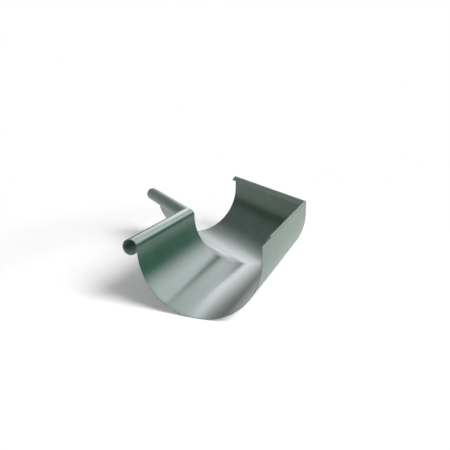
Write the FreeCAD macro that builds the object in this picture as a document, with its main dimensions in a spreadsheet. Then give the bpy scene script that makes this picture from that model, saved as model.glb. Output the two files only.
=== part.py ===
import FreeCAD, Part
import Sketcher
import math
import os

# Internal corner of a half-round rain gutter, folded from one coated steel sheet.
# Two equal arms meet at a mitre. Each arm carries one section: a folded lip and a straight
# wall on the outer side of the corner, the half-round trough, and a round bead, curled
# outwards from the trough, on the inner side of the corner. The lip is cut back at the
# first arm's open end, which leaves the back edge plain there for the strap of a joiner.
#
# Frame: +Z is up and the part stands on z = 0. The mitre is the plane Y = 0, with one arm
# on each side of it, and +X points to the outer side of the corner. The origin is the
# middle of the footprint.

doc = FreeCAD.newDocument("gutter_corner")

# Each row: name, value, what it is. Lengths are in millimetres and angles in degrees.
DRIVING_SIZES = [
    ("corner_angle", 135.0, "angle between the arms, seen from the bead side"),
    ("arm_length", 167.0, "along an arm's centre line, from the mitre to the open end"),
    ("trough_width", 125.0, "inside width of the half-round trough"),
    ("sheet_thickness", 0.7, "coated steel sheet"),
    ("back_wall_height", 16.1, "straight wall above the round, outer side of the corner"),
    ("lip_bend_radius", 0.6, "inside radius of the fold at the back rim"),
    ("lip_turn", 140.0, "how far the lip is folded over from upright"),
    ("lip_length", 6.5, "straight part of the lip, past its fold"),
    ("lip_notch", 30.0, "how far the lip is cut back from the first arm's open end"),
    ("front_wall_height", 1.5, "straight wall above the round, inner side of the corner"),
    ("bead_diameter", 16.5, "outside of the curled bead"),
    ("bead_gap", 0.4, "from the bead's free edge to the wall that it curls back to"),
]

DERIVED_SIZES = [
    ("inner_radius", "=trough_width / 2", "trough side of the round"),
    ("outer_radius", "=inner_radius + sheet_thickness", "underside of the round"),
    ("half_angle", "=corner_angle / 2", "from an arm's centre line to the mitre"),
    ("end_x", "=-arm_length * cos(half_angle * 1deg)", "open end's centre"),
    ("end_y", "=-arm_length * sin(half_angle * 1deg)", "open end's centre"),
    ("corner_x", "=outer_radius / sin(half_angle * 1deg)", "outermost point of the corner"),
    ("bead_x", "=end_x - (inner_radius + bead_diameter) * sin(half_angle * 1deg)",
     "outermost point of the bead, at the open end"),
    ("middle_x", "=(corner_x + bead_x) / 2", "middle of the footprint"),
    ("fold_height", "=outer_radius + back_wall_height", "where the back wall's fold starts"),
    ("rim_height", "=fold_height + lip_bend_radius + sheet_thickness", "top of the folded rim"),
]

sizes = doc.addObject("Spreadsheet::Sheet", "Sizes")
for row, (name, value, note) in enumerate(DRIVING_SIZES + DERIVED_SIZES, start=1):
    sizes.set(f"A{row}", name)
    sizes.set(f"B{row}", str(value))
    sizes.set(f"C{row}", note)
    sizes.setAlias(f"B{row}", name)
doc.recompute()


def size(name):
    """The value of one cell of the sheet, as a plain number."""
    return float(getattr(sizes, name))


def point(u, z):
    return FreeCAD.Vector(u, z, 0)


def line(start, end):
    return Part.LineSegment(start, end)


def arc(centre, radius, start_angle, end_angle):
    circle = Part.Circle(centre, FreeCAD.Vector(0, 0, 1), radius)
    return Part.ArcOfCircle(circle, math.radians(start_angle), math.radians(end_angle))


def origin_plane(body, role):
    return next(plane for plane in body.Origin.OriginFeatures if plane.Role == role)


# Point numbers of an edge in a sketch's constraints.
START, END, CENTRE = 1, 2, 3
VERTICAL_AXIS = -2
ROOT = -1


def draw_face(sketch, offset):
    """One face of the sheet as a chain of six edges, from the lip to the bead.

    The trough side has offset 0 and the underside is offset by the sheet's thickness.
    Returns each edge's number in the sketch by name.
    """
    radius = size("inner_radius") + offset
    rim_radius = size("lip_bend_radius") + offset
    bead_radius = size("bead_diameter") / 2 - offset
    middle = point(0, size("outer_radius"))
    rim = middle + point(size("inner_radius") - size("lip_bend_radius"), size("back_wall_height"))
    bead = middle + point(-size("inner_radius") - size("bead_diameter") / 2,
                          size("front_wall_height"))
    lip_angle = math.radians(size("lip_turn"))
    lip_start = rim + point(math.cos(lip_angle), math.sin(lip_angle)) * rim_radius
    lip_step = point(-math.sin(lip_angle), math.cos(lip_angle)) * size("lip_length")
    reach = 1 - (size("sheet_thickness") + size("bead_gap")) / (size("bead_diameter") / 2)
    bead_turn = 360 - math.degrees(math.acos(reach))
    edges = {
        "lip": line(lip_start, lip_start + lip_step),
        "rim": arc(rim, rim_radius, 0, size("lip_turn")),
        "back": line(point(radius, middle.y), point(radius, rim.y)),
        "round": arc(middle, radius, 180, 360),
        "front": line(point(-radius, middle.y), point(-radius, bead.y)),
        "bead": arc(bead, bead_radius, 0, bead_turn),
    }
    face = {name: sketch.addGeometry(edge, False) for name, edge in edges.items()}
    for first, first_end, second, second_end in (
        ("lip", START, "rim", END),
        ("rim", START, "back", END),
        ("back", START, "round", END),
        ("round", START, "front", START),
        ("front", END, "bead", START),
    ):
        sketch.addConstraint(Sketcher.Constraint(
            "Tangent", face[first], first_end, face[second], second_end))
    sketch.addConstraint(Sketcher.Constraint("Vertical", face["back"]))
    sketch.addConstraint(Sketcher.Constraint("Vertical", face["front"]))
    return face


def bind(sketch, name, kind, *arguments, to):
    """Add a dimension to the sketch and tie its value to the sheet."""
    index = sketch.addConstraint(Sketcher.Constraint(kind, *arguments))
    sketch.renameConstraint(index, name)
    sketch.setExpression(f"Constraints.{name}", to)


def open_end_sketch(body, name):
    """An empty sketch on the first arm's open end, square to the arm and facing outwards.

    Its x runs across the arm towards the outer side of the corner, and its y runs up.
    """
    sketch = body.newObject("Sketcher::SketchObject", name)
    sketch.AttachmentSupport = [(origin_plane(body, "XZ_Plane"), "")]
    sketch.MapMode = "FlatFace"
    # The plane's own x, y and z are the part's +X, +Z and -Y.
    turn = FreeCAD.Rotation(FreeCAD.Vector(0, 1, 0), size("half_angle") - 90)
    end_centre = FreeCAD.Vector(size("end_x"), 0, -size("end_y"))
    sketch.AttachmentOffset = FreeCAD.Placement(end_centre, turn)
    sketch.setExpression("AttachmentOffset.Base.x", "Sizes.end_x")
    sketch.setExpression("AttachmentOffset.Base.z", "-Sizes.end_y")
    sketch.setExpression("AttachmentOffset.Rotation.Angle", "Sizes.half_angle - 90")
    return sketch


def draw_section(body):
    """The sheet's section, a closed outline of both faces and the two cut edges."""
    sketch = open_end_sketch(body, "section")
    inside = draw_face(sketch, 0)
    outside = draw_face(sketch, size("sheet_thickness"))
    geometry = sketch.Geometry
    lip_edge = sketch.addGeometry(
        line(geometry[inside["lip"]].EndPoint, geometry[outside["lip"]].EndPoint), False)
    bead_edge = sketch.addGeometry(
        line(geometry[inside["bead"]].EndPoint, geometry[outside["bead"]].EndPoint), False)

    for cut, edge in ((lip_edge, "lip"), (bead_edge, "bead")):
        for cut_end, face in ((START, inside), (END, outside)):
            sketch.addConstraint(Sketcher.Constraint("Coincident", cut, cut_end, face[edge], END))
    for name in ("round", "rim", "bead"):
        sketch.addConstraint(Sketcher.Constraint(
            "Coincident", inside[name], CENTRE, outside[name], CENTRE))
    sketch.addConstraint(Sketcher.Constraint("Parallel", inside["lip"], outside["lip"]))
    sketch.addConstraint(Sketcher.Constraint("Perpendicular", inside["lip"], lip_edge))
    sketch.addConstraint(Sketcher.Constraint(
        "PointOnObject", inside["bead"], CENTRE, bead_edge))
    sketch.addConstraint(Sketcher.Constraint(
        "PointOnObject", inside["round"], CENTRE, VERTICAL_AXIS))

    bind(sketch, "standing_height", "DistanceY", ROOT, START, inside["round"], CENTRE,
         size("outer_radius"), to="Sizes.outer_radius")
    bind(sketch, "inner_radius", "Radius", inside["round"], size("inner_radius"),
         to="Sizes.inner_radius")
    bind(sketch, "outer_radius", "Radius", outside["round"], size("outer_radius"),
         to="Sizes.outer_radius")
    bind(sketch, "back_wall", "Distance", inside["back"], size("back_wall_height"),
         to="Sizes.back_wall_height")
    bind(sketch, "front_wall", "Distance", inside["front"], size("front_wall_height"),
         to="Sizes.front_wall_height")
    bind(sketch, "lip_bend", "Radius", inside["rim"], size("lip_bend_radius"),
         to="Sizes.lip_bend_radius")
    bind(sketch, "lip_slope", "Angle", inside["lip"], math.radians(size("lip_turn") - 270),
         to="(Sizes.lip_turn - 270) * 1deg")
    bind(sketch, "lip_length", "Distance", inside["lip"], size("lip_length"),
         to="Sizes.lip_length")
    bind(sketch, "bead_radius", "Radius", inside["bead"], size("bead_diameter") / 2,
         to="Sizes.bead_diameter / 2")
    bind(sketch, "bead_gap", "DistanceX", inside["bead"], END, outside["front"], START,
         size("bead_gap"), to="Sizes.bead_gap")
    return sketch


def draw_lip_notch(body):
    """An outline round the lip and its fold, with the back wall left standing below it.

    It runs one sheet thickness past the fold at the top and at the outer side.
    """
    sketch = open_end_sketch(body, "lip_notch")
    past = size("sheet_thickness")
    low, step, high = size("outer_radius"), size("fold_height"), size("rim_height") + past
    wall, outside = size("inner_radius"), size("outer_radius") + past
    corners = [point(0, low), point(wall, low), point(wall, step),
               point(outside, step), point(outside, high), point(0, high)]
    edges = [sketch.addGeometry(line(start, end), False)
             for start, end in zip(corners, corners[1:] + corners[:1])]
    for first, second in zip(edges, edges[1:] + edges[:1]):
        sketch.addConstraint(Sketcher.Constraint("Coincident", first, END, second, START))
    low_edge, wall_edge, step_edge, outer_edge, high_edge, middle_edge = edges
    for edge in (low_edge, step_edge, high_edge):
        sketch.addConstraint(Sketcher.Constraint("Horizontal", edge))
    for edge in (wall_edge, outer_edge):
        sketch.addConstraint(Sketcher.Constraint("Vertical", edge))
    for edge_end in (START, END):
        sketch.addConstraint(Sketcher.Constraint(
            "PointOnObject", middle_edge, edge_end, VERTICAL_AXIS))
    bind(sketch, "low_side", "DistanceY", ROOT, START, low_edge, START, low,
         to="Sizes.outer_radius")
    bind(sketch, "wall_top", "DistanceY", ROOT, START, step_edge, START, step,
         to="Sizes.fold_height")
    bind(sketch, "high_side", "DistanceY", ROOT, START, high_edge, START, high,
         to="Sizes.rim_height + Sizes.sheet_thickness")
    bind(sketch, "wall_side", "DistanceX", ROOT, START, wall_edge, START, wall,
         to="Sizes.inner_radius")
    bind(sketch, "outer_side", "DistanceX", ROOT, START, outer_edge, START, outside,
         to="Sizes.outer_radius + Sizes.sheet_thickness")
    return sketch


def make_gutter_corner():
    """The section is padded to the mitre plane, mirrored across it, and its lip notched."""
    body = doc.addObject("PartDesign::Body", "gutter_corner")
    body.Label = "gutter_corner"
    mitre_plane = origin_plane(body, "XZ_Plane")
    section = draw_section(body)

    arm = body.newObject("PartDesign::Pad", "arm")
    arm.Profile = section
    arm.Type = "UpToFace"
    arm.UpToFace = (mitre_plane, [""])
    arm.Reversed = True

    other_arm = body.newObject("PartDesign::Mirrored", "other_arm")
    other_arm.Originals = [arm]
    other_arm.MirrorPlane = (mitre_plane, [""])
    body.Tip = other_arm

    notch = body.newObject("PartDesign::Pocket", "notch")
    notch.Profile = draw_lip_notch(body)
    notch.setExpression("Length", "Sizes.lip_notch")
    body.Tip = notch
    body.setExpression("Placement.Base.x", "-Sizes.middle_x")
    return body


parts = [make_gutter_corner()]
doc.recompute()

for item in doc.Objects:
    if "Invalid" in item.State or "Error" in item.State:
        raise RuntimeError(f"{item.Label} did not build: {item.State}")
for part in parts:
    if part.Shape.isNull() or not part.Shape.isValid():
        raise RuntimeError(f"{part.Label} has no valid shape")

os.makedirs("parts", exist_ok=True)
for part in parts:
    part.Shape.exportStep(f"parts/{part.Label}.step")
    print(part.Label, "volume", round(part.Shape.Volume, 1), "mm3")
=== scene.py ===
from math import cos, pi, radians, sin

import bmesh
import bpy
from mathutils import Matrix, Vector


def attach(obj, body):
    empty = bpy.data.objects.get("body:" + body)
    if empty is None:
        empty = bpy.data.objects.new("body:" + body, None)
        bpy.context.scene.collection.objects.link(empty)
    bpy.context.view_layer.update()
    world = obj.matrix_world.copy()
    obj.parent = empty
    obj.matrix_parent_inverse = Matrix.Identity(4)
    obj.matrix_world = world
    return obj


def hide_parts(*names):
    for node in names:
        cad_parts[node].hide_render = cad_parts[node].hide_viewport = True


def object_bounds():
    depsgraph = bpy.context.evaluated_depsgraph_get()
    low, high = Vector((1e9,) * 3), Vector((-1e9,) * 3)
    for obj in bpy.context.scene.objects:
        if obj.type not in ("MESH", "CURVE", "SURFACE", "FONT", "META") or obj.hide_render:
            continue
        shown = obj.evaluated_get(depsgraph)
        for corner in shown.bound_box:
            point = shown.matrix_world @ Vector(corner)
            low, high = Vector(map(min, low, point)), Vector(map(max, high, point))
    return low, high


# Internal corner of a half-round gutter, folded from one sheet of coated steel.
# Metres, +Z up. The mitre is the plane Y = 0, and the two arms are mirror images across it.
# The first arm is the near one, on the side of -Y.

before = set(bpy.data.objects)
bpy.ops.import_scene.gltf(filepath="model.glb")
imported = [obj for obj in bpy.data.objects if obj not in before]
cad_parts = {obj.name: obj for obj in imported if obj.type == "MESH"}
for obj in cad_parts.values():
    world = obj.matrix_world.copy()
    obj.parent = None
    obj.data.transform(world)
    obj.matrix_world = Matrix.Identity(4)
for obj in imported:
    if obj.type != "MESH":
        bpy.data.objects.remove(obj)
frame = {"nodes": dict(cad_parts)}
cadBox = [list(corner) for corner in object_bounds()]
print("frame loaded:", ", ".join(frame["nodes"]))


def selectNothing():
    bpy.ops.object.select_all(action="DESELECT")


def selectWhere(piece, kind, test):
    # in edit mode: leaves selected only the vertices, edges or faces that pass the test
    bpy.ops.mesh.select_mode(type=kind)
    bpy.ops.mesh.select_all(action="DESELECT")
    mesh = bmesh.from_edit_mesh(piece.data)
    for part in {"VERT": mesh.verts, "EDGE": mesh.edges, "FACE": mesh.faces}[kind]:
        part.select = test(part)
    mesh.select_flush_mode()
    bmesh.update_edit_mesh(piece.data)


def applyModifier(piece, kind, **settings):
    modifier = piece.modifiers.new(kind.title(), kind)
    for name, value in settings.items():
        setattr(modifier, name, value)
    bpy.ops.object.modifier_apply(modifier=modifier.name)


def hexColour(text):
    # sRGB hex to the linear values that Blender works in
    channels = [int(text[i:i + 2], 16) / 255 for i in (1, 3, 5)]
    linear = [c / 12.92 if c <= 0.04045 else ((c + 0.055) / 1.055) ** 2.4 for c in channels]
    return (*linear, 1.0)


def newMaterial(name):
    material = bpy.data.materials.new(name)
    material.use_nodes = True
    material.node_tree.nodes.clear()
    return material, material.node_tree


def addNode(tree, kind, settings=None, inputs=None):
    # settings are the node's own options; an input is a value, or another node's socket to link
    node = tree.nodes.new("ShaderNode" + kind)
    for name, value in (settings or {}).items():
        setattr(node, name, value)
    for name, value in (inputs or {}).items():
        if isinstance(value, bpy.types.NodeSocket):
            tree.links.new(value, node.inputs[name])
        else:
            node.inputs[name].default_value = value
    return node


sheet = {
    "halfAngle": radians(67.5),      # from an arm's centre line to the mitre
    "armLength": 0.167,              # along the centre line, from the mitre to the open end
    "thickness": 0.0007,             # steel, zinc and both coats
    "innerRadius": 0.0625,           # of the trough
    "backWall": 0.0161,              # straight wall above the round, outer side of the corner
    "frontWall": 0.0015,             # the same on the bead's side
    "foldRadius": 0.0006,            # inside of the fold at the back rim
    "lipTurn": radians(140),         # how far the lip is folded over, back into the trough
    "lipLength": 0.0065,
    "lipNotch": 0.030,               # the lip is cut back this far at the first arm's open end
    "beadRadius": 0.00825,           # outside of the bead
    "beadTurn": radians(330.07),     # its free edge stops just short of the wall
    "roundSteps": 256,               # edges in a whole circle of the trough's size
    "beadSteps": 72,                 # edges in the bead's curl
    "foldSteps": 12,                 # and in the lip's fold
    "edgeBreak": 0.00012,            # width of the bevel: sheared edges aren't knife sharp
    "bevelAbove": radians(60),       # only the cut edges turn more than this
    "smoothBelow": radians(18),      # the rounds turn less than this from face to face
    "overrun": 0.04,                 # an arm is drawn this far past the mitre, then cut off there
}

# how far off a line or a plane still counts as on it, in metres
slack = {
    "place": 1e-6,      # a vertex
    "cut": 1e-7,        # a bisecting plane
    "mitre": 1e-5,      # the mitre, once the sheet has its thickness
}

# a face's material index is its finish's place in this list
finishes = ["trough", "cutEdge", "reverse", "insideBead"]

middleHeight = sheet["innerRadius"] + sheet["thickness"]      # of the trough's centre line
foldHeight = middleHeight + sheet["backWall"]                 # of the back wall's upper end
mitreX = cadBox[1][0] - middleHeight / sin(sheet["halfAngle"])
mitre = Vector((mitreX, 0, 0))                                # where the centre lines meet
along = Vector((-cos(sheet["halfAngle"]), -sin(sheet["halfAngle"]), 0))      # down the first arm
across = Vector((sin(sheet["halfAngle"]), -cos(sheet["halfAngle"]), 0))      # to its outer side


def drawProfile(piece):
    # the trough side of the sheet, as a chain of edges across the arm
    radius = sheet["innerRadius"]
    bpy.ops.object.mode_set(mode="EDIT")
    selectWhere(piece, "VERT", lambda vertex: vertex.co.z > middleHeight + slack["place"])
    bpy.ops.mesh.delete(type="VERT")

    # back wall, fold and lip
    selectWhere(piece, "VERT", lambda vertex: vertex.co.x > radius - slack["place"])
    bpy.ops.mesh.extrude_region_move(
        TRANSFORM_OT_translate={"value": (0, 0, sheet["backWall"])})
    bpy.ops.mesh.spin(
        steps=sheet["foldSteps"], angle=sheet["lipTurn"], axis=(0, 1, 0),
        center=(radius - sheet["foldRadius"], 0, foldHeight))
    step = Vector((-sin(sheet["lipTurn"]), 0, cos(sheet["lipTurn"]))) * sheet["lipLength"]
    bpy.ops.mesh.extrude_region_move(TRANSFORM_OT_translate={"value": step})

    # front wall and bead
    selectWhere(piece, "VERT", lambda vertex: vertex.co.x < -radius + slack["place"])
    bpy.ops.mesh.extrude_region_move(
        TRANSFORM_OT_translate={"value": (0, 0, sheet["frontWall"])})
    bpy.ops.mesh.spin(
        steps=sheet["beadSteps"], angle=sheet["beadTurn"], axis=(0, 1, 0),
        center=(-radius - sheet["beadRadius"], 0, middleHeight + sheet["frontWall"]))


def drawArm(piece):
    # the profile is drawn out past the mitre, turned to its side and cut off on the plane Y = 0
    overrun = sheet["overrun"]
    bpy.ops.mesh.select_all(action="SELECT")
    bpy.ops.mesh.extrude_region_move(
        TRANSFORM_OT_translate={"value": (0, -sheet["armLength"] - overrun, 0)})
    bpy.ops.object.mode_set(mode="OBJECT")
    turn = sheet["halfAngle"] - pi / 2
    piece.rotation_euler.z = turn
    piece.location = (mitreX - overrun * sin(turn), overrun * cos(turn), 0)
    bpy.ops.object.transform_apply(location=True, rotation=True, scale=True)
    bpy.ops.object.mode_set(mode="EDIT")
    bpy.ops.mesh.select_all(action="SELECT")
    bpy.ops.mesh.bisect(
        plane_co=(0, 0, 0), plane_no=(0, 1, 0), clear_outer=True, threshold=slack["cut"])
    bpy.ops.object.mode_set(mode="OBJECT")


def cutLipBack(piece):
    # the lip and its fold come off the last stretch of the first arm
    start = mitre + along * (sheet["armLength"] - sheet["lipNotch"])

    def onLip(co):
        side = (co - start).dot(across)
        return (co.y < 0 and 0 < side < sheet["innerRadius"] - slack["place"]
                and co.z > foldHeight - sheet["lipLength"])

    bpy.ops.object.mode_set(mode="EDIT")
    selectWhere(piece, "FACE", lambda face: onLip(face.calc_center_median()))
    bpy.ops.mesh.bisect(plane_co=start, plane_no=along, threshold=slack["cut"])
    selectWhere(piece, "FACE", lambda face: onLip(face.calc_center_median())
                and (face.calc_center_median() - start).dot(along) > 0)
    bpy.ops.mesh.delete(type="FACE")
    bpy.ops.object.mode_set(mode="OBJECT")


def turnTroughSideUp(piece):
    # an open sheet's recalculated normals can come out either way up
    bpy.ops.object.mode_set(mode="EDIT")
    bpy.ops.mesh.select_all(action="SELECT")
    bpy.ops.mesh.normals_make_consistent(inside=False)
    bpy.ops.object.mode_set(mode="OBJECT")
    lowest = min(piece.data.polygons, key=lambda face: face.center.z)
    if lowest.normal.z < 0:
        bpy.ops.object.mode_set(mode="EDIT")
        bpy.ops.mesh.flip_normals()
        bpy.ops.object.mode_set(mode="OBJECT")


def isInsideBead(face):
    # the reverse side of the curl, on either arm: nearer to the bead's axis than mid-sheet is
    centre = face.center
    side = (Vector((centre.x, -abs(centre.y), 0)) - mitre).dot(across)
    fromAxis = Vector((side + sheet["innerRadius"] + sheet["beadRadius"],
                       centre.z - middleHeight - sheet["frontWall"]))
    return (face.material_index == finishes.index("reverse")
            and fromAxis.length < sheet["beadRadius"] - sheet["thickness"] / 2)


def makeSheet(materials):
    selectNothing()
    bpy.ops.mesh.primitive_circle_add(
        vertices=sheet["roundSteps"], radius=sheet["innerRadius"], fill_type="NOTHING",
        location=(0, 0, middleHeight), rotation=(pi / 2, 0, 0))
    piece = bpy.context.object
    piece.name = piece.data.name = "foldedSheet"
    bpy.ops.object.transform_apply(location=True, rotation=True, scale=True)
    drawProfile(piece)
    drawArm(piece)

    # the second arm, joined at the mitre
    applyModifier(piece, "MIRROR", use_axis=(False, True, False), use_clip=True,
                  merge_threshold=slack["place"])
    cutLipBack(piece)

    # the wall gets its thickness on the reverse side
    turnTroughSideUp(piece)
    for name in finishes:
        piece.data.materials.append(materials[name])
    applyModifier(piece, "SOLIDIFY", thickness=sheet["thickness"], offset=-1,
                  use_even_offset=True, use_quality_normals=True,
                  material_offset=finishes.index("reverse"),
                  material_offset_rim=finishes.index("cutEdge"))
    applyModifier(piece, "BEVEL", width=sheet["edgeBreak"], segments=2,
                  limit_method="ANGLE", angle_limit=sheet["bevelAbove"])
    # faces inside the curl get the darker coat, which is painted shade
    for face in piece.data.polygons:
        if isInsideBead(face):
            face.material_index = finishes.index("insideBead")

    # the mitre is a crisp crease right across, and the bevels of the cut edges, which turn
    # 22.5 degrees and more, stay out of the rounds' smooth shading
    bpy.ops.object.mode_set(mode="EDIT")
    selectWhere(piece, "EDGE",
                lambda edge: all(abs(end.co.y) < slack["mitre"] for end in edge.verts))
    bpy.ops.mesh.mark_sharp()
    bpy.ops.object.mode_set(mode="OBJECT")
    bpy.ops.object.shade_smooth_by_angle(angle=sheet["smoothBelow"], keep_sharp_edges=True)
    piece.visible_glossy = False     # its gloss mirrors the studio alone, not its own other arm
    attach(piece, "root")
    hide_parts("gutter_corner")
    return piece


# nearly all of a noise texture's values lie between these
noiseLow, noiseHigh = 0.3, 0.7

coating = {
    "dark": "#284439",
    "light": "#2c4a3e",
    "cloudSize": 0.035,      # metres between its slightly darker and lighter places
    "ior": 1.5,
    "smoothest": 0.14,       # roughness, which varies from line to line of the folding rolls
    "roughest": 0.19,
    "rollPitch": 0.0030,     # metres between those faint lines
    "rollStretch": 0.02,     # 0.02 makes them fifty times as long as that
    "rollBump": {"Strength": 0.25, "Distance": 0.00002},
    "peelSize": 0.0022,      # metres between the hollows of the coating's orange peel
    "peelBump": {"Strength": 0.2, "Distance": 0.00001},
}


def makeCoatedSteel():
    # Polyester coil coating on galvanised steel: dark green, smooth and glossy. The faint lines
    # along each arm are left by the rolls that the sheet is folded with.
    material, tree = newMaterial("coilCoatedSteel")
    place = addNode(tree, "TexCoord").outputs["Object"]

    # both arms in one set of axes: x across, y along the arm
    split = addNode(tree, "SeparateXYZ", inputs={"Vector": place})
    mirrored = addNode(tree, "Math", {"operation": "ABSOLUTE"}, {0: split.outputs["Y"]})
    folded = addNode(tree, "CombineXYZ", inputs={
        "X": split.outputs["X"], "Y": mirrored.outputs["Value"], "Z": split.outputs["Z"]})
    alongArm = addNode(tree, "Mapping", inputs={
        "Vector": folded.outputs["Vector"], "Rotation": (0, 0, sheet["halfAngle"] - pi / 2)})

    cloud = addNode(tree, "TexNoise", inputs={
        "Vector": place, "Scale": 1 / coating["cloudSize"], "Detail": 3.0, "Roughness": 0.55})
    peel = addNode(tree, "TexNoise", inputs={
        "Vector": place, "Scale": 1 / coating["peelSize"], "Detail": 1.0})
    stretched = addNode(tree, "Mapping", inputs={
        "Vector": alongArm.outputs["Vector"], "Scale": (1, coating["rollStretch"], 1)})
    rolls = addNode(tree, "TexNoise", inputs={
        "Vector": stretched.outputs["Vector"], "Scale": 1 / coating["rollPitch"], "Detail": 2.0})

    tint = addNode(tree, "ValToRGB", inputs={"Fac": cloud.outputs["Fac"]})
    first, last = tint.color_ramp.elements
    first.position, last.position = noiseLow, noiseHigh
    first.color, last.color = hexColour(coating["dark"]), hexColour(coating["light"])
    gloss = addNode(tree, "MapRange", inputs={
        "Value": rolls.outputs["Fac"], "From Min": noiseLow, "From Max": noiseHigh,
        "To Min": coating["smoothest"], "To Max": coating["roughest"]})

    rollBump = addNode(tree, "Bump", inputs={
        "Height": rolls.outputs["Fac"], **coating["rollBump"]})
    peelBump = addNode(tree, "Bump", inputs={
        "Height": peel.outputs["Fac"], "Normal": rollBump.outputs["Normal"],
        **coating["peelBump"]})
    shader = addNode(tree, "BsdfPrincipled", inputs={
        "Base Color": tint.outputs["Color"], "IOR": coating["ior"],
        "Roughness": gloss.outputs["Result"], "Normal": peelBump.outputs["Normal"]})
    addNode(tree, "OutputMaterial", inputs={"Surface": shader.outputs["BSDF"]})
    return material


backing = {
    "clean": {"name": "epoxyBackingCoat", "dark": "#4b5b53", "light": "#4f5f57",
              "smoothest": 0.18, "roughest": 0.23, "specular": 0.5},
    # inside the bead: colours darkened as painted shade of the curl's hollow, and gloss turned
    # nearly off
    "beadShade": {"name": "beadShadeBackingCoat", "dark": "#2d463d", "light": "#40594d",
              "smoothest": 0.43, "roughest": 0.48, "specular": 0.08},
    "ior": 1.5,
    "mottle": 0.006,         # metres between its darker and lighter places
    "bump": {"Strength": 0.06, "Distance": 0.00002},
    "dulled": 0.50,          # roughness on the back rim's fold, where the coat is stretched
    "dullFrom": -0.0002,     # where that starts, from the fold's height
    "dullTo": 0.0008,        # and where it is complete
}


def makeBackingCoat(coat):
    # Reverse side of the sheet: thin epoxy backing coat, greyer than the top coat. It shows on
    # the outer walls and, turned over, on the lip. Curled up inside the bead it is painted darker,
    # as shade, with nearly no gloss.
    material, tree = newMaterial(coat["name"])
    place = addNode(tree, "TexCoord").outputs["Object"]
    height = addNode(tree, "SeparateXYZ", inputs={"Vector": place}).outputs["Z"]
    mottle = addNode(tree, "TexNoise", inputs={
        "Vector": place, "Scale": 1 / backing["mottle"], "Detail": 2.0})
    tone = addNode(tree, "ValToRGB", inputs={"Fac": mottle.outputs["Fac"]})
    first, last = tone.color_ramp.elements
    first.position, last.position = noiseLow, noiseHigh
    first.color, last.color = hexColour(coat["dark"]), hexColour(coat["light"])
    worn = addNode(tree, "MapRange", inputs={
        "Value": mottle.outputs["Fac"], "From Min": noiseLow, "From Max": noiseHigh,
        "To Min": coat["smoothest"], "To Max": coat["roughest"]})
    gloss = addNode(tree, "MapRange", {"interpolation_type": "SMOOTHSTEP"}, {
        "Value": height, "From Min": foldHeight + backing["dullFrom"],
        "From Max": foldHeight + backing["dullTo"],
        "To Min": worn.outputs["Result"], "To Max": backing["dulled"]})
    bump = addNode(tree, "Bump", inputs={"Height": mottle.outputs["Fac"], **backing["bump"]})
    shader = addNode(tree, "BsdfPrincipled", inputs={
        "Base Color": tone.outputs["Color"], "IOR": backing["ior"],
        "Specular IOR Level": coat["specular"],
        "Roughness": gloss.outputs["Result"], "Normal": bump.outputs["Normal"]})
    addNode(tree, "OutputMaterial", inputs={"Surface": shader.outputs["BSDF"]})
    return material


cutEdge = {
    "dark": "#55605b",
    "light": "#6b7671",
    "grain": 0.0012,         # metres; as fine as it shows, coarser than the blade's real marks
    "metallic": 0.6,         # zinc that has turned dull, between metal and its oxide
    "roughness": 0.5,
    "bump": {"Strength": 0.4, "Distance": 0.00003},
}


def makeCutEdge():
    # Sheared edge: bare zinc and steel under the coating, dull and a little rough from the blade.
    material, tree = newMaterial("shearedZincSteel")
    place = addNode(tree, "TexCoord").outputs["Object"]
    grain = addNode(tree, "TexNoise", inputs={
        "Vector": place, "Scale": 1 / cutEdge["grain"], "Detail": 2.0})
    tone = addNode(tree, "ValToRGB", inputs={"Fac": grain.outputs["Fac"]})
    first, last = tone.color_ramp.elements
    first.color, last.color = hexColour(cutEdge["dark"]), hexColour(cutEdge["light"])
    bump = addNode(tree, "Bump", inputs={"Height": grain.outputs["Fac"], **cutEdge["bump"]})
    shader = addNode(tree, "BsdfPrincipled", inputs={
        "Base Color": tone.outputs["Color"], "Metallic": cutEdge["metallic"],
        "Roughness": cutEdge["roughness"], "Normal": bump.outputs["Normal"]})
    addNode(tree, "OutputMaterial", inputs={"Surface": shader.outputs["BSDF"]})
    return material


piece = makeSheet({
    "trough": makeCoatedSteel(),
    "cutEdge": makeCutEdge(),
    "reverse": makeBackingCoat(backing["clean"]),
    # the bead's inside: a darker copy of the backing coat, painted shade of the curl
    "insideBead": makeBackingCoat(backing["beadShade"]),
})
print("sheet folded:", len(piece.data.polygons), "faces")


studioFloor = {
    "size": 1.2,
    "colour": "#fcfcfb",
    "roughness": 0.6,
    "fadeStart": 0.15,       # metres from the middle, where it starts to turn into plain white
    "fadeEnd": 0.42,
}


def makeFloor():
    selectNothing()
    bpy.ops.mesh.primitive_plane_add(size=studioFloor["size"], location=(0, 0, 0))
    floor = bpy.context.object
    floor.name = "studioFloor"
    floor.visible_glossy = False     # the world's lower half stands for it in the gloss
    material, tree = newMaterial("paleStudioFloor")
    place = addNode(tree, "TexCoord").outputs["Object"]
    away = addNode(tree, "VectorMath", {"operation": "LENGTH"}, {0: place})
    fade = addNode(tree, "MapRange", {"interpolation_type": "SMOOTHSTEP"}, {
        "Value": away.outputs["Value"], "From Min": studioFloor["fadeStart"],
        "From Max": studioFloor["fadeEnd"]})
    rays = addNode(tree, "LightPath")
    share = addNode(tree, "Math", {"operation": "MULTIPLY"}, {
        0: fade.outputs["Result"], 1: rays.outputs["Is Camera Ray"]})
    matt = addNode(tree, "BsdfPrincipled", inputs={
        "Base Color": hexColour(studioFloor["colour"]),
        "Roughness": studioFloor["roughness"]})
    white = addNode(tree, "Emission", inputs={"Color": (1, 1, 1, 1), "Strength": 1.0})
    mixed = addNode(tree, "MixShader", inputs={
        0: share.outputs["Value"], 1: matt.outputs["BSDF"], 2: white.outputs["Emission"]})
    addNode(tree, "OutputMaterial", inputs={"Surface": mixed.outputs["Shader"]})
    floor.data.materials.append(material)


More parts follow.
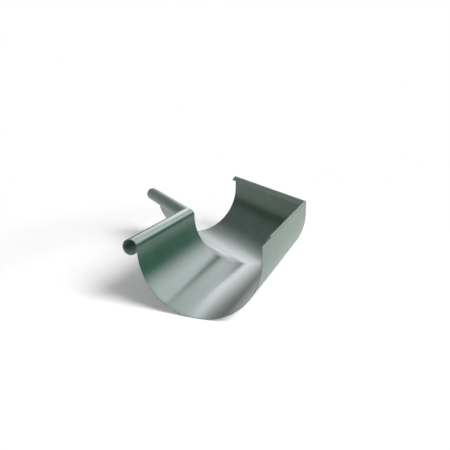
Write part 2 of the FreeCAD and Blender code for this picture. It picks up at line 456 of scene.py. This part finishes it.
# What the gloss mirrors, as levels that turn into each other. A level takes over between its
# From and its To: how far to one side, or for the sky how high, where 1 is straight to the
# side or straight up.
surroundings = {
    "ambient": 0.055,        # one even level for matt surfaces
    "middle": 0.36,          # the horizon behind the object and in front of it
    "flanks": 0.80,          # to both sides of that
    "flanksFrom": 0.15, "flanksTo": 0.60,
    "sides": 0.04,           # far round to the left and right, which stay dark
    "sidesFrom": 0.68, "sidesTo": 0.80,
    "sky": 0.52,             # overhead
    "skyFrom": 0.0, "skyTo": 0.4,
    "groundMiddle": 0.66,    # below the horizon, where it stands for the white floor
    "ground": 0.90,          # the same to both sides
    "groundFrom": 0.15, "groundTo": 0.50,
    "lineMiddle": -0.06,     # height at which that level is reached in the middle
    "line": -0.20,           # the same to both sides
    "lineFrom": 0.15, "lineTo": 0.35,
    "tilt": 0.12,            # that line lies lower on the right than on the left
    "groundTint": "#f3f9f5",     # a little green, from the light that the coating throws on it
    "tintTo": -0.2,          # height at which that tint is full
}


def makeWorld():
    world = bpy.data.worlds.new("softStudio")
    bpy.context.scene.world = world
    world.use_nodes = True
    tree = world.node_tree
    tree.nodes.clear()
    toward = addNode(tree, "SeparateXYZ", inputs={
        "Vector": addNode(tree, "TexCoord").outputs["Generated"]})     # the way that a ray goes
    smooth = {"interpolation_type": "SMOOTHSTEP"}

    # dark at the far left and right of the horizon, lighter between them and overhead
    aside = addNode(tree, "Math", {"operation": "ABSOLUTE"}, {0: toward.outputs["X"]})
    spread = addNode(tree, "MapRange", smooth, {
        "Value": aside.outputs["Value"],
        "From Min": surroundings["flanksFrom"], "From Max": surroundings["flanksTo"],
        "To Min": surroundings["middle"], "To Max": surroundings["flanks"]})
    low = addNode(tree, "MapRange", smooth, {
        "Value": aside.outputs["Value"],
        "From Min": surroundings["sidesFrom"], "From Max": surroundings["sidesTo"],
        "To Min": spread.outputs["Result"], "To Max": surroundings["sides"]})
    upper = addNode(tree, "MapRange", smooth, {
        "Value": toward.outputs["Z"],
        "From Min": surroundings["skyFrom"], "From Max": surroundings["skyTo"],
        "To Min": low.outputs["Result"], "To Max": surroundings["sky"]})

    # below the horizon it turns into the white of the floor
    tilted = addNode(tree, "Math", {"operation": "MULTIPLY_ADD"}, {
        0: toward.outputs["X"], 1: surroundings["tilt"], 2: toward.outputs["Z"]})
    below = addNode(tree, "MapRange", smooth, {
        "Value": aside.outputs["Value"],
        "From Min": surroundings["groundFrom"], "From Max": surroundings["groundTo"],
        "To Min": surroundings["groundMiddle"], "To Max": surroundings["ground"]})
    line = addNode(tree, "MapRange", smooth, {
        "Value": aside.outputs["Value"],
        "From Min": surroundings["lineFrom"], "From Max": surroundings["lineTo"],
        "To Min": surroundings["lineMiddle"], "To Max": surroundings["line"]})
    level = addNode(tree, "MapRange", smooth, {
        "Value": tilted.outputs["Value"], "From Min": 0.0, "From Max": line.outputs["Result"],
        "To Min": upper.outputs["Result"], "To Max": below.outputs["Result"]})
    turned = addNode(tree, "MapRange", smooth, {
        "Value": tilted.outputs["Value"], "From Min": 0.0, "From Max": surroundings["tintTo"]})
    tint = addNode(tree, "ValToRGB", inputs={"Fac": turned.outputs["Result"]})
    first, last = tint.color_ramp.elements
    first.color, last.color = (1, 1, 1, 1), hexColour(surroundings["groundTint"])

    # the gloss gets those levels, matt surfaces one even level, and the camera plain white
    rays = addNode(tree, "LightPath")
    shown = addNode(tree, "MapRange", inputs={
        "Value": rays.outputs["Is Diffuse Ray"], "To Min": level.outputs["Result"],
        "To Max": surroundings["ambient"]})
    dim = addNode(tree, "Background", inputs={
        "Color": tint.outputs["Color"], "Strength": shown.outputs["Result"]})
    white = addNode(tree, "Background", inputs={"Color": (1, 1, 1, 1), "Strength": 1.0})
    mixed = addNode(tree, "MixShader", inputs={
        0: rays.outputs["Is Camera Ray"],
        1: dim.outputs["Background"], 2: white.outputs["Background"]})
    addNode(tree, "OutputWorld", inputs={"Surface": mixed.outputs["Shader"]})


# Azimuth 0 is behind the object, seen from the camera, and 90 is to its right. radiance is a
# box's brightness, where 1 is white. A box lights the matt colour, shows in the gloss, or does
# both. soft is the width, in metres, of the dimmed rim at its left, right, foot and head.
softboxes = [
    {"name": "keySoftbox", "azimuth": 135, "elevation": 42, "distance": 1.6,
     "width": 0.95, "height": 0.95, "radiance": 11.0, "for": "matt"},
    {"name": "keyPanel", "azimuth": 135, "elevation": 42, "distance": 1.6,
     "width": 0.80, "height": 0.80, "radiance": 4, "for": "gloss",
     "soft": (0.2, 0.2, 0.2, 0.2)},
    {"name": "topSoftbox", "azimuth": 180, "elevation": 78, "distance": 1.6,
     "width": 1.2, "height": 1.2, "radiance": 0.3, "for": "both"},
    {"name": "frontFill", "azimuth": 203, "elevation": 11, "distance": 1.8,
     "width": 1.0, "height": 0.7, "radiance": 8.8, "for": "matt"},
    {"name": "frontPanel", "azimuth": 185, "elevation": 24, "distance": 2.0,
     "width": 1.3, "height": 1.2, "radiance": 2.2, "for": "gloss",
     "soft": (0.4, 0.3, 0.5, 0.3)},
    {"name": "lowBackSoftbox", "azimuth": -2.25, "elevation": 15, "distance": 2.0,
     "width": 0.87, "height": 1.38, "radiance": 3.6, "for": "gloss",
     "soft": (0.85, 0.10, 1.16, 0.42)},
    {"name": "backFloorPanel", "azimuth": 8.5, "elevation": 3, "distance": 2.0,
     "width": 0.42, "height": 0.52, "radiance": 0.9, "for": "gloss",
     "soft": (0.14, 0.14, 0.14, 0.22)},
    {"name": "highBackSoftbox", "azimuth": 1, "elevation": 34, "distance": 2.0,
     "width": 2.22, "height": 0.85, "radiance": 2.7, "for": "gloss",
     "soft": (1.66, 0.23, 0.25, 0.10)},
    {"name": "rightBackSoftbox", "azimuth": 53, "elevation": 23.5, "distance": 2.0,
     "width": 1.11, "height": 1.35, "radiance": 3.7, "for": "gloss",
     "soft": (0.05, 0.10, 0.80, 0.10)},
]
aimHeight = 0.03             # all of them point at this height over the middle
tubeColour = "#f8fbff"       # daylight tubes, a little cool


def softenRim(light, box):
    light.use_nodes = True
    tree = light.node_tree
    tree.nodes.clear()
    place = addNode(tree, "NewGeometry").outputs["Parametric"]     # 0 to 1 over the box
    over = addNode(tree, "SeparateXYZ", inputs={"Vector": place})
    left, right, foot, head = box["soft"]
    strength = 1.0
    for axis, rim, rise in (("X", 1, -left / box["width"]), ("X", 0, right / box["width"]),
                            ("Y", 0, foot / box["height"]), ("Y", 1, -head / box["height"])):
        ramp = addNode(tree, "MapRange", {"interpolation_type": "SMOOTHSTEP"}, {
            "Value": over.outputs[axis], "From Min": rim, "From Max": rim + rise})
        strength = addNode(tree, "Math", {"operation": "MULTIPLY"}, {
            0: ramp.outputs["Result"], 1: strength}).outputs["Value"]
    glow = addNode(tree, "Emission", inputs={
        "Color": hexColour(tubeColour), "Strength": strength})
    addNode(tree, "OutputLight", inputs={"Surface": glow.outputs["Emission"]})


def addSoftbox(box):
    azimuth, elevation = radians(box["azimuth"]), radians(box["elevation"])
    light = bpy.data.lights.new(box["name"], "AREA")
    light.shape = "RECTANGLE"
    light.size, light.size_y = box["width"], box["height"]
    light.energy = box["radiance"] * 4 * box["width"] * box["height"]     # watts for that radiance
    lamp = bpy.data.objects.new(box["name"], light)
    bpy.context.collection.objects.link(lamp)
    if "soft" in box:
        softenRim(light, box)
    lamp.visible_diffuse = box["for"] != "gloss"
    lamp.visible_glossy = box["for"] != "matt"
    away = Vector((sin(azimuth) * cos(elevation), cos(azimuth) * cos(elevation), sin(elevation)))
    lamp.location = away * box["distance"] + Vector((0, 0, aimHeight))
    lamp.rotation_euler = (-away).to_track_quat("-Z", "Y").to_euler()


makeFloor()
makeWorld()
for box in softboxes:
    addSoftbox(box)
print("studio lit")


# matched to the object's outline; azimuth 0 is square on to the mitre's plane
viewpoint = {
    "azimuth": radians(-2.60),
    "elevation": radians(15.23),
    "distance": 0.6403,
    "target": (0.00358, 0.0, 0.05129),
    "lens": 41.86,
    "clipStart": 0.01,
    "clipEnd": 50,
}


def makeCamera():
    camera = bpy.data.objects.new("photoCamera", bpy.data.cameras.new("photoCamera"))
    bpy.context.collection.objects.link(camera)
    azimuth, elevation = viewpoint["azimuth"], viewpoint["elevation"]
    back = Vector((sin(azimuth) * cos(elevation), -cos(azimuth) * cos(elevation), sin(elevation)))
    camera.location = Vector(viewpoint["target"]) + back * viewpoint["distance"]
    camera.rotation_euler = (-back).to_track_quat("-Z", "Y").to_euler()
    camera.data.lens = viewpoint["lens"]
    camera.data.clip_start = viewpoint["clipStart"]
    camera.data.clip_end = viewpoint["clipEnd"]
    bpy.context.scene.camera = camera


makeCamera()
bpy.context.scene.view_settings.view_transform = "Standard"
print("camera placed")
